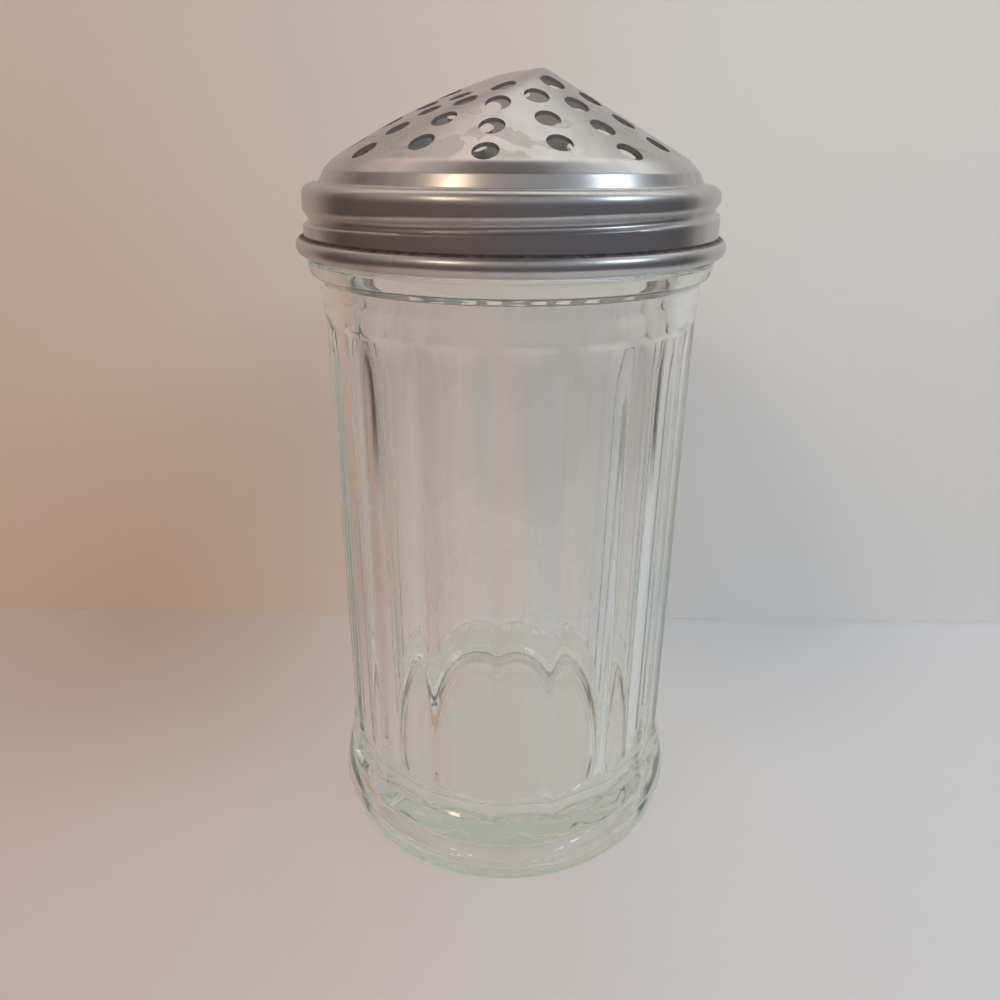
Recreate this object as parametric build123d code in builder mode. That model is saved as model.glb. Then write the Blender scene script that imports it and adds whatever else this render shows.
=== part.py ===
from build123d import *
from math import acos, degrees, radians, sqrt, tan
import os

# A table-top spice shaker: a fluted pressed-glass jar, a thin sealing ring on its rim and a
# perforated sheet-metal cap that screws down over both.
# Millimetres, +Z up, origin at the centre of the foot, -Y towards the front.

# ---------------------------------------------------------------- jar: the hollow and its walls
mouth_radius = 30.6
cavity_draft = 0.3
floor_thickness = 7.0
floor_corner_radius = 9.0
body_wall = 3.6
body_flare = 1.3
neck_wall = 3.6
rim_rounding = 0.6
rim_bevel = 1.0

# ---------------------------------------------------------------- jar: heel and foot
heel_overhang = 2.6
heel_height = 13.8
heel_ledge = 0.5
ridge_foot_rise = 3.0
foot_height = 3.2
foot_inset = 0.5
bearing_width = 6.6
push_up = 1.6
push_up_slope_width = 4.0

# ---------------------------------------------------------------- jar: flutes
flute_count = 18
first_flute_azimuth = 5.4
flute_top_height = 108.0
flute_depth = 0.95
flute_hollow_radius = 37.0
flute_end_slope = 33.0

# ---------------------------------------------------------------- jar: band, waist, collar and neck
band_bulge = 0.4
band_height = 4.0
waist_bulge = 0.1
waist_drop = 1.9
collar_overhang = 2.3
collar_height = 3.9
neck_height = 11.0

# ---------------------------------------------------------------- screw thread, right-handed
thread_lead = 4.233
thread_clearance = 0.5
jar_thread_turns = 1.15
jar_thread_height = 1.05
jar_thread_root_width = 2.4
jar_thread_crest_width = 1.0
jar_thread_end_azimuth = -30.0
cap_thread_front_drop = 3.5
cap_thread_turns = 0.78
cap_thread_depth = 0.85
cap_groove_width = 2.3
cap_groove_floor_width = 0.9
cap_thread_start_azimuth = -150.0

# ---------------------------------------------------------------- sealing ring
seal_thickness = 0.8
seal_inset = 0.8
seal_overhang = 0.1

# ---------------------------------------------------------------- cap
sheet = 0.5
cone_slope = 29.0
tip_radius = 5.3
tip_rounding = 2.5
shoulder_run = 1.8
shoulder_rise = 1.35
shoulder_rounding = 6.0
fold_run = 0.95
fold_rise = 2.0
fold_rounding = 0.8
step_rounding = 0.5
flange_width = 2.9
flange_rounding = 1.9
skirt_flare = 0.35
bead_radius = 1.75
bead_overhang = 1.45
bead_lip_angle = 100.0
bead_gap = 0.45

# ---------------------------------------------------------------- holes in the cap
hole_radius = 2.0
hole_column_pairs = 8
first_column_azimuth = -7.3
hole_edge_margin = 2.1
hole_row_step = 6.0
short_column_inset = 2.0
long_column_holes = 4
short_column_holes = 3

# ---------------------------------------------------------------- derived radii
neck_radius = mouth_radius + neck_wall
collar_radius = neck_radius + collar_overhang
ridge_top_radius = mouth_radius + body_wall
ridge_foot_radius = ridge_top_radius + body_flare
band_radius = ridge_top_radius + band_bulge
waist_radius = ridge_top_radius + waist_bulge
heel_radius = ridge_foot_radius + heel_overhang
heel_top_radius = ridge_foot_radius + heel_ledge
foot_radius = heel_radius - foot_inset
bearing_radius = foot_radius - bearing_width
cavity_foot_radius = mouth_radius + cavity_draft
skirt_inner_radius = neck_radius + jar_thread_height + thread_clearance
skirt_top_radius = skirt_inner_radius + sheet
skirt_foot_radius = skirt_top_radius + skirt_flare
step_radius = skirt_top_radius - flange_width
fold_radius = step_radius - fold_run
shoulder_radius = fold_radius - shoulder_run
bead_centre_radius = skirt_foot_radius + bead_overhang - bead_radius
outer_hole_radius = shoulder_radius - hole_edge_margin

# ---------------------------------------------------------------- derived heights
band_top_height = flute_top_height + band_height
waist_height = band_top_height + waist_drop
collar_top_height = waist_height + collar_height
jar_height = collar_top_height + neck_height
flange_height = jar_height + seal_thickness + sheet
fold_height = flange_height + fold_rise
shoulder_height = fold_height + shoulder_rise
tip_height = shoulder_height + (shoulder_radius - tip_radius) * tan(radians(cone_slope))
bead_height = collar_top_height + bead_gap + bead_radius
bead_offset = skirt_foot_radius - bead_centre_radius
crevice_height = bead_height + sqrt(bead_radius**2 - bead_offset**2)
crevice_angle = degrees(acos(bead_offset / bead_radius))
thread_front_height = jar_height - cap_thread_front_drop

front = -90.0
overcut = 4.0
weld = 0.4


def helical_rib(azimuth, height, turns, base_radius, base_width, crest_radius, crest_width):
    """A rib of trapezoidal section that starts at an azimuth and climbs as a right-handed screw."""
    with BuildPart() as rib:
        with BuildLine() as path:
            Helix(thread_lead, thread_lead * turns, base_radius)
        with BuildSketch(Plane.XZ):
            with BuildLine():
                Polyline(
                    (base_radius, -base_width / 2),
                    (crest_radius, -crest_width / 2),
                    (crest_radius, crest_width / 2),
                    (base_radius, base_width / 2),
                    close=True,
                )
            make_face()
        sweep(path=path.wires()[0], is_frenet=True)
    return rib.part.moved(Location((0, 0, height), (0, 0, front + azimuth)))


# ---------------------------------------------------------------- glass jar
# A flute is a long hollow cut by a leaning cylinder whose two ends are sloped flats.
flute_taper = body_flare / (flute_top_height - heel_height)
flute_middle_height = (flute_top_height + heel_height) / 2
flute_floor_radius = (ridge_foot_radius + ridge_top_radius) / 2 - flute_depth
end_slope = tan(radians(flute_end_slope))
flute_foot_z = heel_height + (heel_top_radius - flute_floor_radius) * end_slope
flute_head_z = flute_top_height - (ridge_top_radius - flute_floor_radius) * end_slope

with BuildPart() as flute_cutter:
    with BuildSketch(Plane.XZ):
        with BuildLine():
            inner = flute_floor_radius - overcut
            outer = flute_floor_radius + flute_depth + overcut
            Polyline(
                (inner, flute_foot_z + overcut * end_slope),
                (outer, flute_foot_z - (outer - flute_floor_radius) * end_slope),
                (outer, flute_head_z + (outer - flute_floor_radius) * end_slope),
                (inner, flute_head_z - overcut * end_slope),
                close=True,
            )
        make_face()
    extrude(amount=flute_hollow_radius, both=True)
    hollow_axis = Plane(
        origin=(flute_floor_radius + flute_hollow_radius, 0, flute_middle_height),
        x_dir=(1, 0, flute_taper),
        z_dir=(-flute_taper, 0, 1),
    )
    with Locations(hollow_axis):
        Cylinder(flute_hollow_radius, flute_top_height, mode=Mode.INTERSECT)

with BuildPart() as glass_jar:
    with BuildSketch(Plane.XZ):
        with BuildLine():
            side = FilletPolyline(
                (0, push_up),
                (bearing_radius - push_up_slope_width, push_up),
                (bearing_radius, 0),
                (foot_radius, 0),
                (heel_radius, foot_height),
                (heel_top_radius, heel_height),
                (ridge_foot_radius, heel_height + ridge_foot_rise),
                (ridge_top_radius, flute_top_height),
                (band_radius, band_top_height),
                (waist_radius, waist_height),
                (collar_radius, collar_top_height),
                (neck_radius, collar_top_height),
                (neck_radius, jar_height),
                (0, jar_height),
                radius=[2.0, 0.8, 0.4, 1.2, 8.0, 6.0, 20.0, 3.0, 0.8, 0.5, 1.0, rim_rounding],
            )
            Line(side @ 1, side @ 0)
        make_face()
    revolve(axis=Axis.Z)
    with PolarLocations(0, flute_count, start_angle=front + first_flute_azimuth):
        add(flute_cutter.part, mode=Mode.SUBTRACT)
    with BuildSketch(Plane.XZ):
        with BuildLine():
            hollow = FilletPolyline(
                (0, floor_thickness),
                (cavity_foot_radius, floor_thickness),
                (mouth_radius, band_top_height),
                (mouth_radius, jar_height - rim_bevel),
                (mouth_radius + rim_bevel, jar_height),
                (mouth_radius + rim_bevel, jar_height + overcut),
                (0, jar_height + overcut),
                radius=[floor_corner_radius, 4.0, 0.6, 0.3, 0.3],
            )
            Line(hollow @ 1, hollow @ 0)
        make_face()
    revolve(axis=Axis.Z, mode=Mode.SUBTRACT)
    jar_thread_start_azimuth = jar_thread_end_azimuth - 360 * jar_thread_turns
    add(
        helical_rib(
            jar_thread_start_azimuth,
            thread_front_height + thread_lead * (jar_thread_start_azimuth / 360 + 0.5),
            jar_thread_turns,
            neck_radius - weld,
            jar_thread_root_width,
            neck_radius + jar_thread_height,
            jar_thread_crest_width,
        )
    )
glass_jar.part.label = "glass_jar"

# ---------------------------------------------------------------- sealing ring
with BuildPart() as rim_seal:
    with BuildSketch(Plane.XY.offset(jar_height)):
        Circle(neck_radius + seal_overhang)
        Circle(mouth_radius + seal_inset, mode=Mode.SUBTRACT)
    extrude(amount=seal_thickness)
rim_seal.part.label = "rim_seal"

# ---------------------------------------------------------------- perforated screw cap
# The rolled thread shows as a groove outside and as a rib of the same sheet inside.
groove_floor_radius = skirt_top_radius - cap_thread_depth
cap_thread_start_height = thread_front_height + thread_lead * cap_thread_start_azimuth / 360
thread_groove = helical_rib(
    cap_thread_start_azimuth,
    cap_thread_start_height,
    cap_thread_turns,
    skirt_top_radius + weld,
    cap_groove_width,
    groove_floor_radius,
    cap_groove_floor_width,
)
thread_rib = helical_rib(
    cap_thread_start_azimuth,
    cap_thread_start_height,
    cap_thread_turns,
    (skirt_inner_radius + skirt_flare + skirt_top_radius) / 2,
    cap_groove_width + 2 * sheet,
    groove_floor_radius - sheet,
    cap_groove_floor_width + sheet,
)
long_column_angle = front + first_column_azimuth
short_column_angle = long_column_angle + 180 / hole_column_pairs

with BuildPart() as shaker_cap:
    with BuildSketch(Plane.XZ):
        with BuildLine():
            FilletPolyline(
                (0, tip_height),
                (tip_radius, tip_height),
                (shoulder_radius, shoulder_height),
                (fold_radius, fold_height),
                (step_radius, flange_height),
                (skirt_top_radius, flange_height),
                (skirt_foot_radius, crevice_height),
                radius=[tip_rounding, shoulder_rounding, fold_rounding, step_rounding, flange_rounding],
            )
            bead_centre = (bead_centre_radius, bead_height)
            CenterArc(bead_centre, bead_radius, crevice_angle, -crevice_angle - bead_lip_angle)
            offset(amount=sheet, side=Side.RIGHT, closed=True)
        make_face()
    revolve(axis=Axis.Z)
    add(thread_rib)
    add(thread_groove, mode=Mode.SUBTRACT)
    with BuildSketch(Plane.XY.offset(flange_height)):
        for row in range(long_column_holes):
            row_radius = outer_hole_radius - row * hole_row_step
            with PolarLocations(row_radius, hole_column_pairs, long_column_angle):
                Circle(hole_radius)
        for row in range(short_column_holes):
            row_radius = outer_hole_radius - short_column_inset - row * hole_row_step
            with PolarLocations(row_radius, hole_column_pairs, short_column_angle):
                Circle(hole_radius)
    extrude(amount=tip_height - flange_height, mode=Mode.SUBTRACT)
shaker_cap.part.label = "shaker_cap"

os.makedirs("parts", exist_ok=True)
export_step(glass_jar.part, "parts/glass_jar.step")
export_step(rim_seal.part, "parts/rim_seal.step")
export_step(shaker_cap.part, "parts/shaker_cap.step")
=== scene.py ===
from math import acos, atan2, ceil, cos, degrees, hypot, pi, radians, sin, sqrt, tan

import bmesh
import bpy
from mathutils import Matrix, Vector


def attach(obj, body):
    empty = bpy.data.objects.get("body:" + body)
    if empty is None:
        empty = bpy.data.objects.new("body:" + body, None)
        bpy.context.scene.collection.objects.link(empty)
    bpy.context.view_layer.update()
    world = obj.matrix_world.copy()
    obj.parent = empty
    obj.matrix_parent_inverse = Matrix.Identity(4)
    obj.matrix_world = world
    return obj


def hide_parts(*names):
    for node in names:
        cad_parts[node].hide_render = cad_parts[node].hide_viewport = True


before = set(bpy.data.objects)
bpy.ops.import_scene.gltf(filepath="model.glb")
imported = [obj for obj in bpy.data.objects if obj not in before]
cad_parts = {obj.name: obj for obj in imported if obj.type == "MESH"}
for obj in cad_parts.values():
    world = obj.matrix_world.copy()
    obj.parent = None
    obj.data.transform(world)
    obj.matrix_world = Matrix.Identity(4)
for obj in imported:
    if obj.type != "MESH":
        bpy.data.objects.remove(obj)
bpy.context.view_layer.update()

# A fluted glass spice shaker with a screw cap of perforated aluminium.
# Sizes are in millimetres until a mesh is made, which is in metres. The front faces -Y.
MM = 0.001
FRONT = radians(-90)

# how finely outlines are cut
LONGEST_LAST_STEP = 1.4
SHORTEST_STEP = 0.01
ARC_STEP_DEGREES = 11


# ---------------------------------------------------------------- outlines and turned shapes
def rounded(corners, row_step):
    """A line through corners (radius, height, rounding) as points, cut into rows no longer than row_step says."""
    points = []

    def walk_to(target):
        while True:
            start = points[-1]
            rest = target - start
            step = row_step(start.x, start.y)
            if rest.length < step * LONGEST_LAST_STEP:
                break
            points.append(start + rest.normalized() * step)
        if (target - points[-1]).length > SHORTEST_STEP:
            points.append(target)

    places = [Vector(c[:2]) for c in corners]
    points.append(places[0])
    for before, here, after, corner in zip(places, places[1:], places[2:], corners[1:]):
        rounding = corner[2]
        if not rounding:
            walk_to(here)
            continue
        back, on = (before - here).normalized(), (after - here).normalized()
        half = acos(max(-1, min(1, back.dot(on)))) / 2
        tangent = rounding / tan(half)
        centre = here + (back + on).normalized() * rounding / sin(half)
        walk_to(here + back * tangent)
        arm = here + back * tangent - centre
        turn = pi - 2 * half
        side = 1 if back.x * on.y - back.y * on.x < 0 else -1
        arc_rows = ceil(turn * rounding / row_step(here.x, here.y))
        pieces = max(3, ceil(degrees(turn) / ARC_STEP_DEGREES), arc_rows)
        for k in range(1, pieces + 1):
            points.append(centre + Matrix.Rotation(side * turn * k / pieces, 2) @ arm)
    walk_to(places[-1])
    return points


def turned(outline, steps):
    """The outline turned about the Z axis, as a bmesh with its normals outwards."""
    bm = bmesh.new()
    verts = [bm.verts.new((p.x * MM, 0, p.y * MM)) for p in outline]
    edges = [bm.edges.new(pair) for pair in zip(verts, verts[1:])]
    bmesh.ops.spin(
        bm,
        geom=verts + edges,
        cent=(0, 0, 0),
        axis=(0, 0, 1),
        dvec=(0, 0, 0),
        angle=2 * pi,
        steps=steps,
        use_merge=True,
        use_duplicate=False,
    )
    bmesh.ops.remove_doubles(bm, verts=bm.verts, dist=1e-7)
    bmesh.ops.recalc_face_normals(bm, faces=bm.faces)
    return bm


def made(bm, name, material, sharp_angle):
    """The bmesh as a smooth-shaded object with a material."""
    mesh = bpy.data.meshes.new(name)
    bm.to_mesh(mesh)
    bm.free()
    mesh.materials.append(material)
    mesh.shade_smooth()
    mesh.set_sharp_from_angle(angle=radians(sharp_angle))
    thing = bpy.data.objects.new(name, mesh)
    bpy.context.scene.collection.objects.link(thing)
    return thing


def smooth_min(a, b, blend):
    share = max(0.0, min(1.0, 0.5 + (b - a) / blend / 2))
    return b + (a - b) * share - blend * share * (1 - share)


def smooth_max(a, b, blend):
    return -smooth_min(-a, -b, blend)


def ramp(value, start, end):
    """0 before start, 1 after end, smooth between."""
    t = max(0.0, min(1.0, (value - start) / (end - start)))
    return t * t * (3 - 2 * t)


def reshape(bm, move):
    """Moves each vertex: move(radius, height, azimuth from the front in degrees) gives its new radius and height."""
    for v in bm.verts:
        radius = hypot(v.co.x, v.co.y) / MM
        azimuth = atan2(v.co.y, v.co.x)
        new_radius, new_height = move(radius, v.co.z / MM, degrees(azimuth - FRONT))
        v.co = (new_radius * MM * cos(azimuth), new_radius * MM * sin(azimuth), new_height * MM)


# ---------------------------------------------------------------- node helpers
def put(tree, kind, props=None, **inputs):
    """A node with its properties set. Its inputs are constants or sockets; _2 is the third input by number."""
    node = tree.nodes.new(kind)
    for name, value in (props or {}).items():
        setattr(node, name, value)
    for name, value in inputs.items():
        socket = node.inputs[int(name[1:])] if name[0] == "_" else node.inputs[name.replace("_", " ")]
        if isinstance(value, bpy.types.NodeSocket):
            tree.links.new(value, socket)
        else:
            socket.default_value = value
    return node


def maths(tree, operation, a, b=0.0, c=0.0):
    return put(tree, "ShaderNodeMath", {"operation": operation}, _0=a, _1=b, _2=c).outputs[0]


def scaled(tree, vector, scale, centre=(0, 0, 0)):
    """The vector moved so that centre is at the origin, then scaled."""
    moved = put(tree, "ShaderNodeMapping", {"vector_type": "POINT"}, Vector=vector, Scale=scale)
    moved.inputs["Location"].default_value = [-c * s for c, s in zip(centre, scale)]
    return moved.outputs[0]


def noise(tree, vector, scale, detail=3.0, roughness=0.5, distortion=0.0):
    return put(
        tree,
        "ShaderNodeTexNoise",
        Vector=vector,
        Scale=scale,
        Detail=detail,
        Roughness=roughness,
        Distortion=distortion,
    ).outputs["Fac"]


def between(tree, value, low, high, to_low=0.0, to_high=1.0):
    """The value read between low and high, given out between to_low and to_high, and held at the ends."""
    node = put(tree, "ShaderNodeMapRange", {"interpolation_type": "SMOOTHSTEP"}, Value=value)
    for name, number in zip(("From Min", "From Max", "To Min", "To Max"), (low, high, to_low, to_high)):
        node.inputs[name].default_value = number
    return node.outputs[0]


def mixed(tree, share, a, b):
    node = put(tree, "ShaderNodeMix", {"data_type": "RGBA"}, _0=share, _6=a, _7=b)
    return node.outputs[2]


def colour(red, green, blue):
    return (red, green, blue, 1.0)


def new_material(name):
    material = bpy.data.materials.new(name)
    material.use_nodes = True
    tree = material.node_tree
    shader = tree.nodes["Principled BSDF"]
    place = tree.nodes.new("ShaderNodeTexCoord").outputs["Object"]
    return material, tree, shader, place


def set_plain(shader, **values):
    for name, value in values.items():
        shader.inputs[name.replace("_", " ")].default_value = value


def handling_marks_group():
    """Smudges and dried film left by hands and washing: a mask from 0 to 1."""
    group = bpy.data.node_groups.new("handling_marks", "ShaderNodeTree")
    group.interface.new_socket("Vector", in_out="INPUT", socket_type="NodeSocketVector")
    size = group.interface.new_socket("Patches per metre", in_out="INPUT", socket_type="NodeSocketFloat")
    size.default_value = 60.0
    group.interface.new_socket("Mask", in_out="OUTPUT", socket_type="NodeSocketFloat")
    start, end = group.nodes.new("NodeGroupInput"), group.nodes.new("NodeGroupOutput")
    patches = noise(group, start.outputs["Vector"], start.outputs["Patches per metre"], 4.0, 0.6, 0.6)
    streaks = noise(group, scaled(group, start.outputs["Vector"], (300, 300, 60)), 1.0, 2.0)
    both = maths(group, "MULTIPLY", between(group, patches, 0.42, 0.62), between(group, streaks, 0.35, 0.7))
    group.links.new(both, end.inputs["Mask"])
    return group


handling_marks = handling_marks_group()


def marks(tree, place, per_metre):
    node = put(tree, "ShaderNodeGroup", {"node_tree": handling_marks}, Vector=place)
    node.inputs["Patches per metre"].default_value = per_metre
    return node.outputs["Mask"]


# ---------------------------------------------------------------- finishes
def clear_glass():
    material, tree, shader, place = new_material("clear_pressed_glass")
    set_plain(
        shader,
        Base_Color=colour(0.996, 1.0, 0.998),
        Metallic=0.0,
        IOR=1.52,
        Transmission_Weight=1.0,
    )
    film = marks(tree, place, 45.0)
    tree.links.new(between(tree, film, 0.0, 1.0, 0.0, 0.035), shader.inputs["Roughness"])

    # slow waves of pressed glass, and the fine upright lines of the foot band
    waves = noise(tree, scaled(tree, place, (60, 60, 22)), 1.0, 1.0)
    apart = put(tree, "ShaderNodeSeparateXYZ", _0=place)
    around = maths(tree, "ARCTAN2", apart.outputs["Y"], apart.outputs["X"])
    height = apart.outputs["Z"]
    wobble = noise(tree, scaled(tree, place, (420, 420, 90)), 1.0, 2.0)
    ribs = maths(tree, "SINE", maths(tree, "MULTIPLY_ADD", around, 250.0, maths(tree, "MULTIPLY", wobble, 16.0)))
    foot = maths(
        tree, "MULTIPLY", between(tree, height, 0.0002, 0.0008), between(tree, height, 0.0028, 0.0038, 1.0, 0.0)
    )
    reach = put(tree, "ShaderNodeVectorMath", {"operation": "LENGTH"}, _0=scaled(tree, place, (1, 1, 0)))
    outside = between(tree, reach.outputs["Value"], 0.0362, 0.0368)
    lines = maths(tree, "MULTIPLY", maths(tree, "MULTIPLY", foot, outside), ribs)
    on_body = maths(
        tree, "MULTIPLY", between(tree, height, 0.016, 0.03), between(tree, height, 0.100, 0.108, 1.0, 0.0)
    )
    relief = maths(tree, "MULTIPLY_ADD", lines, 0.6, maths(tree, "MULTIPLY", waves, on_body))
    bump = put(tree, "ShaderNodeBump", Strength=0.10, Distance=0.0002, Height=relief)
    tree.links.new(bump.outputs[0], shader.inputs["Normal"])

    absorb = put(tree, "ShaderNodeVolumeAbsorption", Color=colour(0.42, 0.90, 0.62), Density=3.0)
    clear = put(tree, "ShaderNodeBsdfTransparent", Color=colour(0.972, 0.968, 0.955))
    rays = tree.nodes.new("ShaderNodeLightPath")
    lit = maths(tree, "MAXIMUM", rays.outputs["Is Shadow Ray"], rays.outputs["Is Diffuse Ray"])
    veil = put(tree, "ShaderNodeMixShader", _0=lit, _1=shader.outputs[0], _2=clear.outputs[0])
    out = tree.nodes["Material Output"]
    tree.links.new(veil.outputs[0], out.inputs["Surface"])
    tree.links.new(absorb.outputs[0], out.inputs["Volume"])
    return material


def satin_aluminium():
    material, tree, shader, place = new_material("satin_aluminium")
    set_plain(shader, Metallic=1.0)
    apart = put(tree, "ShaderNodeSeparateXYZ", _0=place)
    height = apart.outputs["Z"]

    # rings left by spinning the sheet
    fine_rings = noise(tree, scaled(tree, place, (12, 12, 5200)), 1.0, 2.0)
    broad_rings = noise(tree, scaled(tree, place, (6, 6, 700)), 1.0, 2.0)
    # dried water on the lower part of the cone: pale film with a darker edge
    on_cone = maths(
        tree,
        "MULTIPLY",
        between(tree, height, 0.1332, 0.1340),
        between(tree, height, 0.1385, 0.1425, 1.0, 0.0),
    )
    pool = noise(tree, scaled(tree, place, (1, 1, 1.6), (0.012, 0.004, 0.0)), 88.0, 3.0, 0.5, 1.1)
    film = maths(tree, "MULTIPLY", between(tree, pool, 0.545, 0.56), on_cone)
    edge = maths(
        tree, "MULTIPLY", between(tree, pool, 0.53, 0.546), between(tree, pool, 0.546, 0.562, 1.0, 0.0)
    )
    edge = maths(tree, "MULTIPLY", edge, on_cone)
    worn = marks(tree, place, 70.0)
    # a dark line in the crevice above the bead: partly dirt, partly painted shade where the skirt meets the bead
    grime_and_shade_noise = noise(tree, place, 520.0, 4.0, 0.7)
    from_crevice = maths(tree, "ABSOLUTE", maths(tree, "SUBTRACT", height, 0.12135))
    in_crevice = between(tree, from_crevice, 0.0001, 0.0004, 1.0, 0.0)
    crevice_dirt_and_shade = maths(tree, "MULTIPLY", in_crevice, between(tree, grime_and_shade_noise, 0.3, 0.6, 0.65, 1.0))

    tone = mixed(tree, worn, colour(0.60, 0.60, 0.605), colour(0.55, 0.545, 0.54))
    tone = mixed(tree, maths(tree, "MULTIPLY", film, 0.4), tone, colour(0.50, 0.50, 0.49))
    tone = mixed(tree, maths(tree, "MULTIPLY", edge, 0.6), tone, colour(0.36, 0.355, 0.34))
    # the crevice line darkened: dirt together with painted shade
    tone = mixed(tree, crevice_dirt_and_shade, tone, colour(0.17, 0.15, 0.14))
    tree.links.new(tone, shader.inputs["Base Color"])

    rough = maths(tree, "MULTIPLY_ADD", worn, 0.07, 0.30)
    rough = maths(tree, "MULTIPLY_ADD", film, 0.12, rough)
    rough = maths(tree, "MULTIPLY_ADD", crevice_dirt_and_shade, 0.4, rough)
    tree.links.new(rough, shader.inputs["Roughness"])

    relief = maths(tree, "MULTIPLY_ADD", fine_rings, 0.25, maths(tree, "MULTIPLY", broad_rings, 0.5))
    bump = put(tree, "ShaderNodeBump", Strength=0.25, Distance=0.00005, Height=relief)
    tree.links.new(bump.outputs[0], shader.inputs["Normal"])
    return material


def seal_plastic():
    material, tree, shader, place = new_material("soft_seal_plastic")
    set_plain(shader, IOR=1.5, Subsurface_Weight=0.15)
    worn = marks(tree, place, 110.0)
    tree.links.new(
        mixed(tree, worn, colour(0.78, 0.77, 0.73), colour(0.69, 0.67, 0.62)), shader.inputs["Base Color"]
    )
    tree.links.new(between(tree, worn, 0.0, 1.0, 0.42, 0.6), shader.inputs["Roughness"])
    bump = put(tree, "ShaderNodeBump", Strength=0.2, Distance=0.00005, Height=noise(tree, place, 2600.0))
    tree.links.new(bump.outputs[0], shader.inputs["Normal"])
    return material


# ---------------------------------------------------------------- glass jar
PUSH_UP = 1.6
FLOOR = 7.0
CAVITY_DRAFT = 0.3
RIM_BEVEL = 1.0
BAND_TOP = 112.0
MOUTH = 30.6
NECK = 34.2
RIDGE_TOP, RIDGE_FOOT = 34.2, 35.5
HEEL_TOP, HEEL, FOOT = 36.0, 38.07, 37.6
HEEL_HEIGHT, FLUTE_TOP, COLLAR_TOP, RIM = 13.8, 108.0, 117.8, 128.8

FLUTES = 18
FIRST_FLUTE = 5.4
FLUTE_DEPTH = 0.80
FLUTE_HOLLOW = 37.0
FLUTE_TAPER = (RIDGE_FOOT - RIDGE_TOP) / (FLUTE_TOP - HEEL_HEIGHT)
FLUTE_MIDDLE = (FLUTE_TOP + HEEL_HEIGHT) / 2
FLUTE_FLOOR = (RIDGE_FOOT + RIDGE_TOP) / 2 - FLUTE_DEPTH
END_SLOPE = tan(radians(33))
FLUTE_FOOT_Z = HEEL_HEIGHT + (HEEL_TOP - FLUTE_FLOOR) * END_SLOPE
ARRIS = 0.25
COVE = 0.8
HEAD_ARRIS = 0.6
JAR_STEPS = FLUTES * 24

THREAD_LEAD = 4.233
THREAD_FRONT = 124.85
NECK_THREAD = (-444.0, -30.0)
CAP_THREAD = (-150.0, 130.8)
NECK_THREAD_HEIGHT = 1.05
CAP_THREAD_DEPTH = 0.85


def jar_rows(radius, height):
    """Rows are short where the flutes end, at the foot, and at the collar and neck."""
    if radius < 26:
        return 5.0
    if 12.5 < height < 17.0 or 105.5 < height < 109.8:
        return 0.3
    if height < 4 or 109 < height < COLLAR_TOP + 0.2:
        return 0.7
    if height > COLLAR_TOP:
        return 0.36
    return 5.0


def hollow_rows(radius, height):
    """Rows are short round the corner of the floor."""
    if radius < 20:
        return 5.0
    return 1.6 if height < 17 else 8.0


def flute(radius, height, azimuth):
    """The jar's outside, with its flutes cut."""
    pitch = 360 / FLUTES
    across = radians((azimuth - FIRST_FLUTE + pitch / 2) % pitch - pitch / 2)
    floor = FLUTE_FLOOR - FLUTE_TAPER * (height - FLUTE_MIDDLE)
    axis = floor + FLUTE_HOLLOW
    hollow = axis * cos(across) - sqrt(FLUTE_HOLLOW**2 - (axis * sin(across)) ** 2)
    foot = (FLUTE_FLOOR + (FLUTE_FOOT_Z - height) / END_SLOPE) / cos(across)
    cut = smooth_max(hollow, foot, COVE)
    near_head = ramp(height, FLUTE_TOP - 4, FLUTE_TOP - 2)
    fluted = smooth_min(radius, cut, ARRIS + (HEAD_ARRIS - ARRIS) * near_head)
    return radius + (fluted - radius) * ramp(height, FLUTE_TOP + 0.4, FLUTE_TOP - 2.6)


def thread_share(height, azimuth, turns, span, centre_height, above, below, half_crest, fade):
    """How full a thread is at a place, from 0 to 1. Its flanks end the given distances above and below its middle."""
    best = 0.0
    for turn in turns:
        along = azimuth + 360 * turn
        if not span[0] < along < span[1]:
            continue
        off = height - centre_height - THREAD_LEAD * along / 360
        full = ramp(abs(off), above if off > 0 else below, half_crest)
        best = max(best, full * ramp(along, span[0], span[0] + fade) * ramp(along, span[1], span[1] - fade))
    return best


def jar_shape(radius, height, azimuth):
    if radius < 32.0:
        return radius, height
    if HEEL_HEIGHT - 3 < height < FLUTE_TOP + 3:
        return flute(radius, height, azimuth), height
    if COLLAR_TOP + 1 < height < RIM - 0.4 and radius > NECK - 0.3:
        stands = thread_share(
            height,
            azimuth % 360,
            turns=(-1, -2),
            span=NECK_THREAD,
            centre_height=THREAD_FRONT + THREAD_LEAD / 2,
            above=1.0,
            below=1.0,
            half_crest=0.45,
            fade=14.0,
        )
        return radius + NECK_THREAD_HEIGHT * stands, height
    return radius, height


glass = clear_glass()
jar_outside = [
    (0, PUSH_UP, 0),
    (27.0, PUSH_UP, 2.0),
    (31.0, 0, 0.8),
    (FOOT, 0, 0.4),
    (HEEL, 3.2, 1.2),
    (HEEL_TOP, HEEL_HEIGHT, 8.0),
    (RIDGE_FOOT, HEEL_HEIGHT + 3.0, 6.0),
    (RIDGE_TOP, FLUTE_TOP, 20.0),
    (34.6, BAND_TOP, 3.0),
    (34.3, 114.2, 0.4),
    (36.0, 115.3, 0.7),
    (36.4, COLLAR_TOP, 0.5),
    (NECK, COLLAR_TOP, 1.0),
    (NECK, RIM, 0.6),
    (MOUTH + RIM_BEVEL, RIM, 0),
]
jar_inside = [
    (MOUTH + RIM_BEVEL, RIM, 0),
    (MOUTH, RIM - RIM_BEVEL, 0.6),
    (MOUTH, BAND_TOP, 4.0),
    (MOUTH + CAVITY_DRAFT, FLOOR, 11.0),
    (0, FLOOR, 0),
]
outline = rounded(jar_outside, jar_rows)[:-1] + rounded(jar_inside, hollow_rows)
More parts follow.
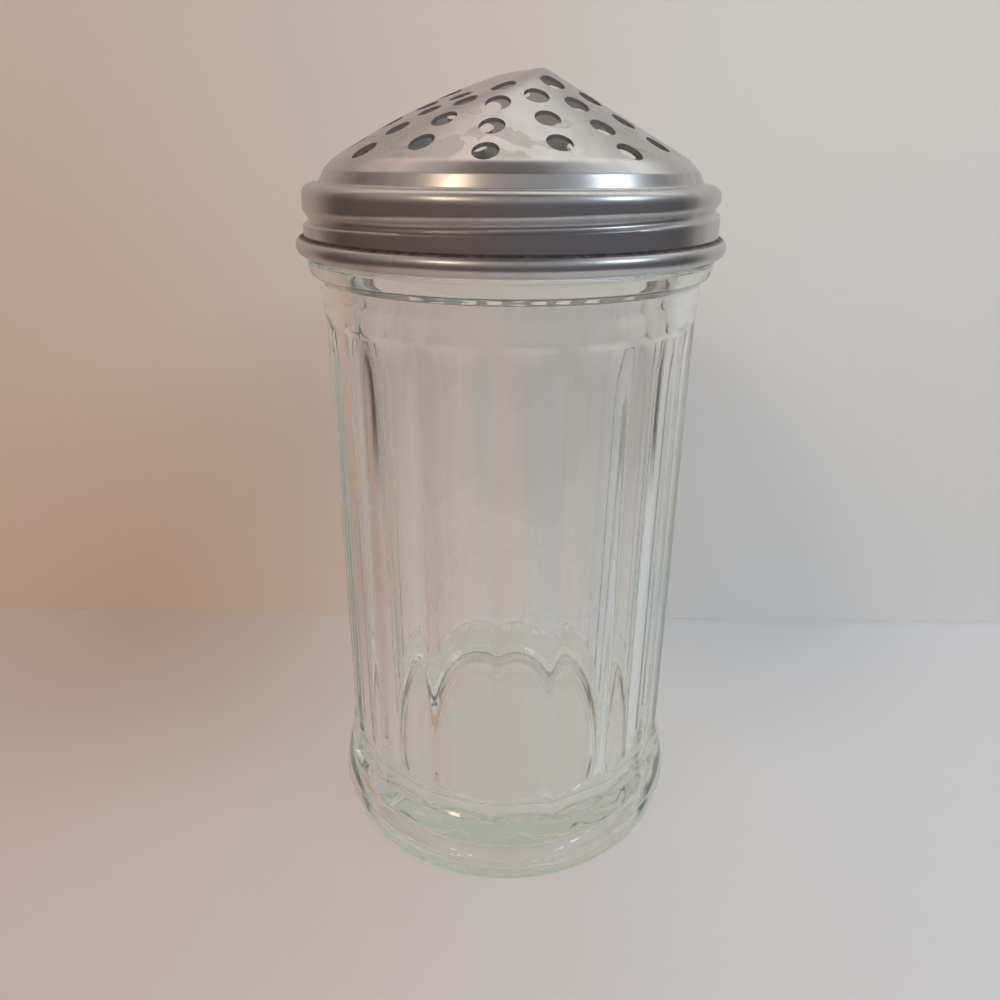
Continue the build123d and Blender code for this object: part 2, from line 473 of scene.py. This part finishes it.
jar_mesh = turned(outline, JAR_STEPS)
reshape(jar_mesh, jar_shape)
jar = made(jar_mesh, "jar_glass", glass, 60)
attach(jar, "jar")
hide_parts("glass_jar")

# ---------------------------------------------------------------- sealing ring
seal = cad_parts["rim_seal"]
seal.data.materials.clear()
seal.data.materials.append(seal_plastic())

# ---------------------------------------------------------------- perforated cap
SHEET = 0.5
TIP_HEIGHT = 147.47
FLANGE_HEIGHT = 129.7
BEAD_CENTRE = Vector((36.5, 119.8))
BEAD_RADIUS = 1.55
BEAD_START, BEAD_END = 86.3, -110.0
CREVICE = 121.35
SKIRT_LOW, SKIRT_HIGH = CREVICE + 0.01, 127.7
HOLE_RADIUS = 2.0
OUTER_HOLES = 28.5
HOLE_ROW = 6.0
HOLE_COLUMNS = 16
FIRST_HOLES = -7.3
SHORT_COLUMN_INSET = 2.0
PUNCH_MIDDLE, PUNCH_LENGTH = 0.138, 0.03  # in metres
CAP_STEPS = 288
BEAD_PARTS = 26

# the knock is a slanting plane: its height at the axis, and its rise to the right and to the back
DENT_HEIGHT = 146.49
DENT_RISE_RIGHT, DENT_RISE_BACK = 0.310, 0.191
DENT_BLEND = 1.3


def cap_rows(radius, height):
    """Rows are shortest on the skirt, where the thread is rolled in."""
    if height > 133.0:
        return 0.62
    if height < 129:
        return 0.24
    return 0.35


def dent(radius, height, azimuth):
    """A knock that has flattened the left of the cone near its tip."""
    turn = radians(azimuth) + FRONT
    flat = DENT_HEIGHT + radius * (DENT_RISE_RIGHT * cos(turn) + DENT_RISE_BACK * sin(turn))
    return smooth_min(height, flat, DENT_BLEND)


def cap_shape(radius, height, azimuth):
    """The turned cap with its dent and its rolled thread; rows of the skirt are led along the thread."""
    if height > 133:
        return radius, dent(radius, height, azimuth)
    if SKIRT_LOW < height < SKIRT_HIGH:
        along = (azimuth + 180) % 360 - 180
        start, end = CAP_THREAD
        if start < along < end:
            rise = along
        else:
            past = (along - end) % 360 / (start + 360 - end)
            rise = end + (start - end) * ramp(past, 0, 1)
        thread = THREAD_FRONT + THREAD_LEAD * rise / 360
        if height > THREAD_FRONT:
            height = thread + (height - THREAD_FRONT) * (SKIRT_HIGH - thread) / (SKIRT_HIGH - THREAD_FRONT)
        else:
            height = thread - (THREAD_FRONT - height) * (thread - SKIRT_LOW) / (THREAD_FRONT - SKIRT_LOW)
        deep = thread_share(
            height,
            along,
            turns=(0,),
            span=CAP_THREAD,
            centre_height=THREAD_FRONT - 0.1,
            above=1.8,
            below=0.75,
            half_crest=0.1,
            fade=22.0,
        )
        return radius - CAP_THREAD_DEPTH * deep, height
    return radius, height


def cap_hole_punches():
    """One mesh of upright round punches, in columns from the tip to the shoulder."""
    bm = bmesh.new()
    for column in range(HOLE_COLUMNS):
        azimuth = FRONT + radians(FIRST_HOLES + 360 / HOLE_COLUMNS * column)
        outer, rows = (OUTER_HOLES, 4) if column % 2 == 0 else (OUTER_HOLES - SHORT_COLUMN_INSET, 3)
        for row in range(rows):
            reach = (outer - row * HOLE_ROW) * MM
            place = Matrix.Translation((reach * cos(azimuth), reach * sin(azimuth), PUNCH_MIDDLE))
            bmesh.ops.create_cone(
                bm,
                cap_ends=True,
                segments=40,
                radius1=HOLE_RADIUS * MM,
                radius2=HOLE_RADIUS * MM,
                depth=PUNCH_LENGTH,
                matrix=place,
            )
    mesh = bpy.data.meshes.new("punches")
    bm.to_mesh(mesh)
    bm.free()
    punches = bpy.data.objects.new("punches", mesh)
    bpy.context.scene.collection.objects.link(punches)
    return punches


def with_modifiers_applied(thing):
    depsgraph = bpy.context.evaluated_depsgraph_get()
    mesh = bpy.data.meshes.new_from_object(thing.evaluated_get(depsgraph))
    thing.modifiers.clear()
    thing.data = mesh


metal = satin_aluminium()
cap_outside = [
    (0, TIP_HEIGHT, 0),
    (5.3, TIP_HEIGHT, 2.5),
    (30.6, 133.45, 4.8),
    (32.4, 131.7, 0.8),
    (33.35, FLANGE_HEIGHT, 0.5),
    (36.25, FLANGE_HEIGHT, 1.9),
    (36.6, CREVICE, 0),
]
outline = rounded(cap_outside, cap_rows)
for part in range(1, BEAD_PARTS + 1):
    angle = radians(BEAD_START + (BEAD_END - BEAD_START) * part / BEAD_PARTS)
    outline.append(BEAD_CENTRE + BEAD_RADIUS * Vector((cos(angle), sin(angle))))
cap_mesh = turned(outline, CAP_STEPS)
reshape(cap_mesh, cap_shape)
bmesh.ops.recalc_face_normals(cap_mesh, faces=cap_mesh.faces)
bmesh.ops.solidify(cap_mesh, geom=cap_mesh.faces[:], thickness=SHEET * MM)
cap = made(cap_mesh, "cap_shell", metal, 40)
punches = cap_hole_punches()
cut = cap.modifiers.new("holes", "BOOLEAN")
cut.operation = "DIFFERENCE"
cut.solver = "EXACT"
cut.object = punches
with_modifiers_applied(cap)
bpy.data.objects.remove(punches)
cap.data.set_sharp_from_angle(angle=radians(40))
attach(cap, "cap")
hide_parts("shaker_cap")


# ---------------------------------------------------------------- stage
def surface_with_painted_light(name, left, right, roughness, glow=0.0, one_sided=False):
    """A surface between a left and a right tone, which are painted light: warm from the left, cool from the right.
    Its glow is painted light that makes up for daylight from windows that are out of sight.
    """
    material, tree, shader, place = new_material(name)
    set_plain(shader, Roughness=roughness)
    apart = put(tree, "ShaderNodeSeparateXYZ", _0=place)
    across = between(tree, apart.outputs["X"], -0.13, 0.08)
    aside = maths(tree, "ABSOLUTE", apart.outputs["X"])
    # painted light: the left tone stands for warm light from the left, the right tone for cool light from the right
    base = mixed(tree, across, colour(*left), colour(*right))
    # painted shade: both tones darken out at the sides, so that the glass and metal show a dark room there
    base = mixed(tree, between(tree, aside, 0.165, 0.30), base, colour(0.13, 0.11, 0.10))
    mottle = noise(tree, place, 9.0, 3.0)
    painted = mixed(tree, maths(tree, "MULTIPLY", mottle, 0.05), base, colour(0, 0, 0))
    tree.links.new(painted, shader.inputs["Base Color"])
    if glow:
        # painted light: the wall glows warm at the lower left and cool at the right, fades out at the sides, weakens
        # above the view, and is strongest in a band high up that the cone reflects
        low = mixed(tree, across, colour(0.56, 0.27, 0.12), colour(0.50, 0.54, 0.60))
        high = mixed(tree, across, colour(0.60, 0.46, 0.38), colour(0.79, 0.79, 0.76))
        glowing = mixed(tree, between(tree, apart.outputs["Z"], 0.0, 0.22), low, high)
        tree.links.new(glowing, shader.inputs["Emission Color"])
        near = between(tree, aside, 0.15, 0.24, glow, 0.0)
        dimmer = between(tree, apart.outputs["Z"], 0.165, 0.19, 1.0, 0.3)
        above = between(tree, apart.outputs["Z"], 0.215, 0.255, 0.0, 4.0)
        strength = maths(tree, "MULTIPLY", near, maths(tree, "ADD", dimmer, above))
        tree.links.new(strength, shader.inputs["Emission Strength"])
    if one_sided:
        side = tree.nodes.new("ShaderNodeNewGeometry")
        clear = tree.nodes.new("ShaderNodeBsdfTransparent")
        both = put(
            tree, "ShaderNodeMixShader", _0=side.outputs["Backfacing"], _1=shader.outputs[0], _2=clear.outputs[0]
        )
        tree.links.new(both.outputs[0], tree.nodes["Material Output"].inputs["Surface"])
    return material


def stage_plane(name, corners, material):
    bm = bmesh.new()
    bm.faces.new([bm.verts.new(c) for c in corners])
    plane = made(bm, name, material, 30)
    return plane


WALL_Y = 0.058
STAGE_SIDE = 0.9
TABLE_FRONT, TABLE_BACK = -0.20, WALL_Y + 0.004
WALL_TOP = 0.5
stage_plane(
    "table",
    [
        (-STAGE_SIDE, TABLE_FRONT, -0.00005),
        (STAGE_SIDE, TABLE_FRONT, -0.00005),
        (STAGE_SIDE, TABLE_BACK, -0.00005),
        (-STAGE_SIDE, TABLE_BACK, -0.00005),
    ],
    surface_with_painted_light("table_top", (0.54, 0.46, 0.43), (0.56, 0.575, 0.59), 0.6),
)
stage_plane(
    "wall",
    [
        (-STAGE_SIDE, WALL_Y, 0.0006),
        (STAGE_SIDE, WALL_Y, 0.0006),
        (STAGE_SIDE, WALL_Y, WALL_TOP),
        (-STAGE_SIDE, WALL_Y, WALL_TOP),
    ],
    surface_with_painted_light("wall_paint_and_painted_light", (0.53, 0.47, 0.43), (0.60, 0.60, 0.575), 0.7, glow=0.25, one_sided=True),
)


# ---------------------------------------------------------------- light and camera
def lamp(name, azimuth, elevation, distance, size, power, tint, mirrored=True):
    """An area lamp aimed at the cap. One that isn't mirrored only fills, and makes no highlights."""
    target = Vector((0, 0, 0.1))
    turn, rise = radians(azimuth) + FRONT, radians(elevation)
    way = Vector((cos(turn) * cos(rise), sin(turn) * cos(rise), sin(rise)))
    data = bpy.data.lights.new(name, "AREA")
    data.shape = "DISK"
    data.size = size
    data.energy = power
    data.color = tint
    thing = bpy.data.objects.new(name, data)
    thing.location = target + way * distance
    thing.rotation_mode = "QUATERNION"
    thing.rotation_quaternion = way.to_track_quat("Z", "Y")
    thing.visible_glossy = thing.visible_transmission = mirrored
    bpy.context.scene.collection.objects.link(thing)


lamp("warm_lamp", -40, 46, 0.75, 0.10, 0.42, (1.0, 0.74, 0.50))
lamp("warm_fill", -50, 50, 0.75, 0.30, 2.0, (1.0, 0.84, 0.68), False)
lamp("cool_lamp", 71, 42, 0.75, 0.22, 0.65, (0.82, 0.93, 1.0))
lamp("cool_fill", 68, 45, 0.75, 0.40, 2.9, (0.90, 0.94, 1.0), False)


def room_light():
    world = bpy.data.worlds.new("room")
    bpy.context.scene.world = world
    world.use_nodes = True
    tree = world.node_tree
    way = put(tree, "ShaderNodeSeparateXYZ", _0=tree.nodes.new("ShaderNodeTexCoord").outputs["Generated"])
    up = between(tree, way.outputs["Z"], 0.05, 0.75)
    overhead = between(tree, way.outputs["Z"], 0.93, 0.97)
    across = between(tree, way.outputs["X"], -0.8, 0.8)
    low = mixed(tree, across, colour(0.14, 0.10, 0.085), colour(0.12, 0.115, 0.135))
    high = mixed(tree, across, colour(0.43, 0.37, 0.33), colour(0.36, 0.38, 0.41))
    background = tree.nodes["Background"]
    light = mixed(tree, overhead, mixed(tree, up, low, high), colour(0.05, 0.045, 0.045))
    tree.links.new(light, background.inputs["Color"])


room_light()

CAMERA_FOCAL_PIXELS = 751.0
IMAGE_PIXELS = 1000
SENSOR_WIDTH = 36.0
CAMERA_BACK, CAMERA_HEIGHT = 0.1444, 0.1341
CAMERA_YAW, CAMERA_PITCH, CAMERA_ROLL = radians(-0.62), radians(24.70), radians(0.38)
forward = Vector(
    (sin(CAMERA_YAW) * cos(CAMERA_PITCH), cos(CAMERA_YAW) * cos(CAMERA_PITCH), -sin(CAMERA_PITCH))
)
level = Vector((cos(CAMERA_YAW), -sin(CAMERA_YAW), 0))
lift = level.cross(forward)
right = level * cos(CAMERA_ROLL) + lift * sin(CAMERA_ROLL)
up = lift * cos(CAMERA_ROLL) - level * sin(CAMERA_ROLL)
camera_data = bpy.data.cameras.new("camera")
camera_data.sensor_fit = "HORIZONTAL"
camera_data.sensor_width = SENSOR_WIDTH
camera_data.lens = SENSOR_WIDTH * CAMERA_FOCAL_PIXELS / IMAGE_PIXELS
camera_data.clip_start = 0.005
camera = bpy.data.objects.new("camera", camera_data)
turn = Matrix((right, up, -forward)).transposed().to_4x4()
camera.matrix_world = Matrix.Translation((0, -CAMERA_BACK, CAMERA_HEIGHT)) @ turn
bpy.context.scene.collection.objects.link(camera)
bpy.context.scene.camera = camera
bpy.context.scene.view_settings.view_transform = "Standard"
light_paths = bpy.context.scene.cycles
light_paths.max_bounces = 32
light_paths.glossy_bounces = 24
light_paths.transmission_bounces = 24
light_paths.transparent_max_bounces = 24

# ---------------------------------------------------------------- scene update
bpy.context.view_layer.update()
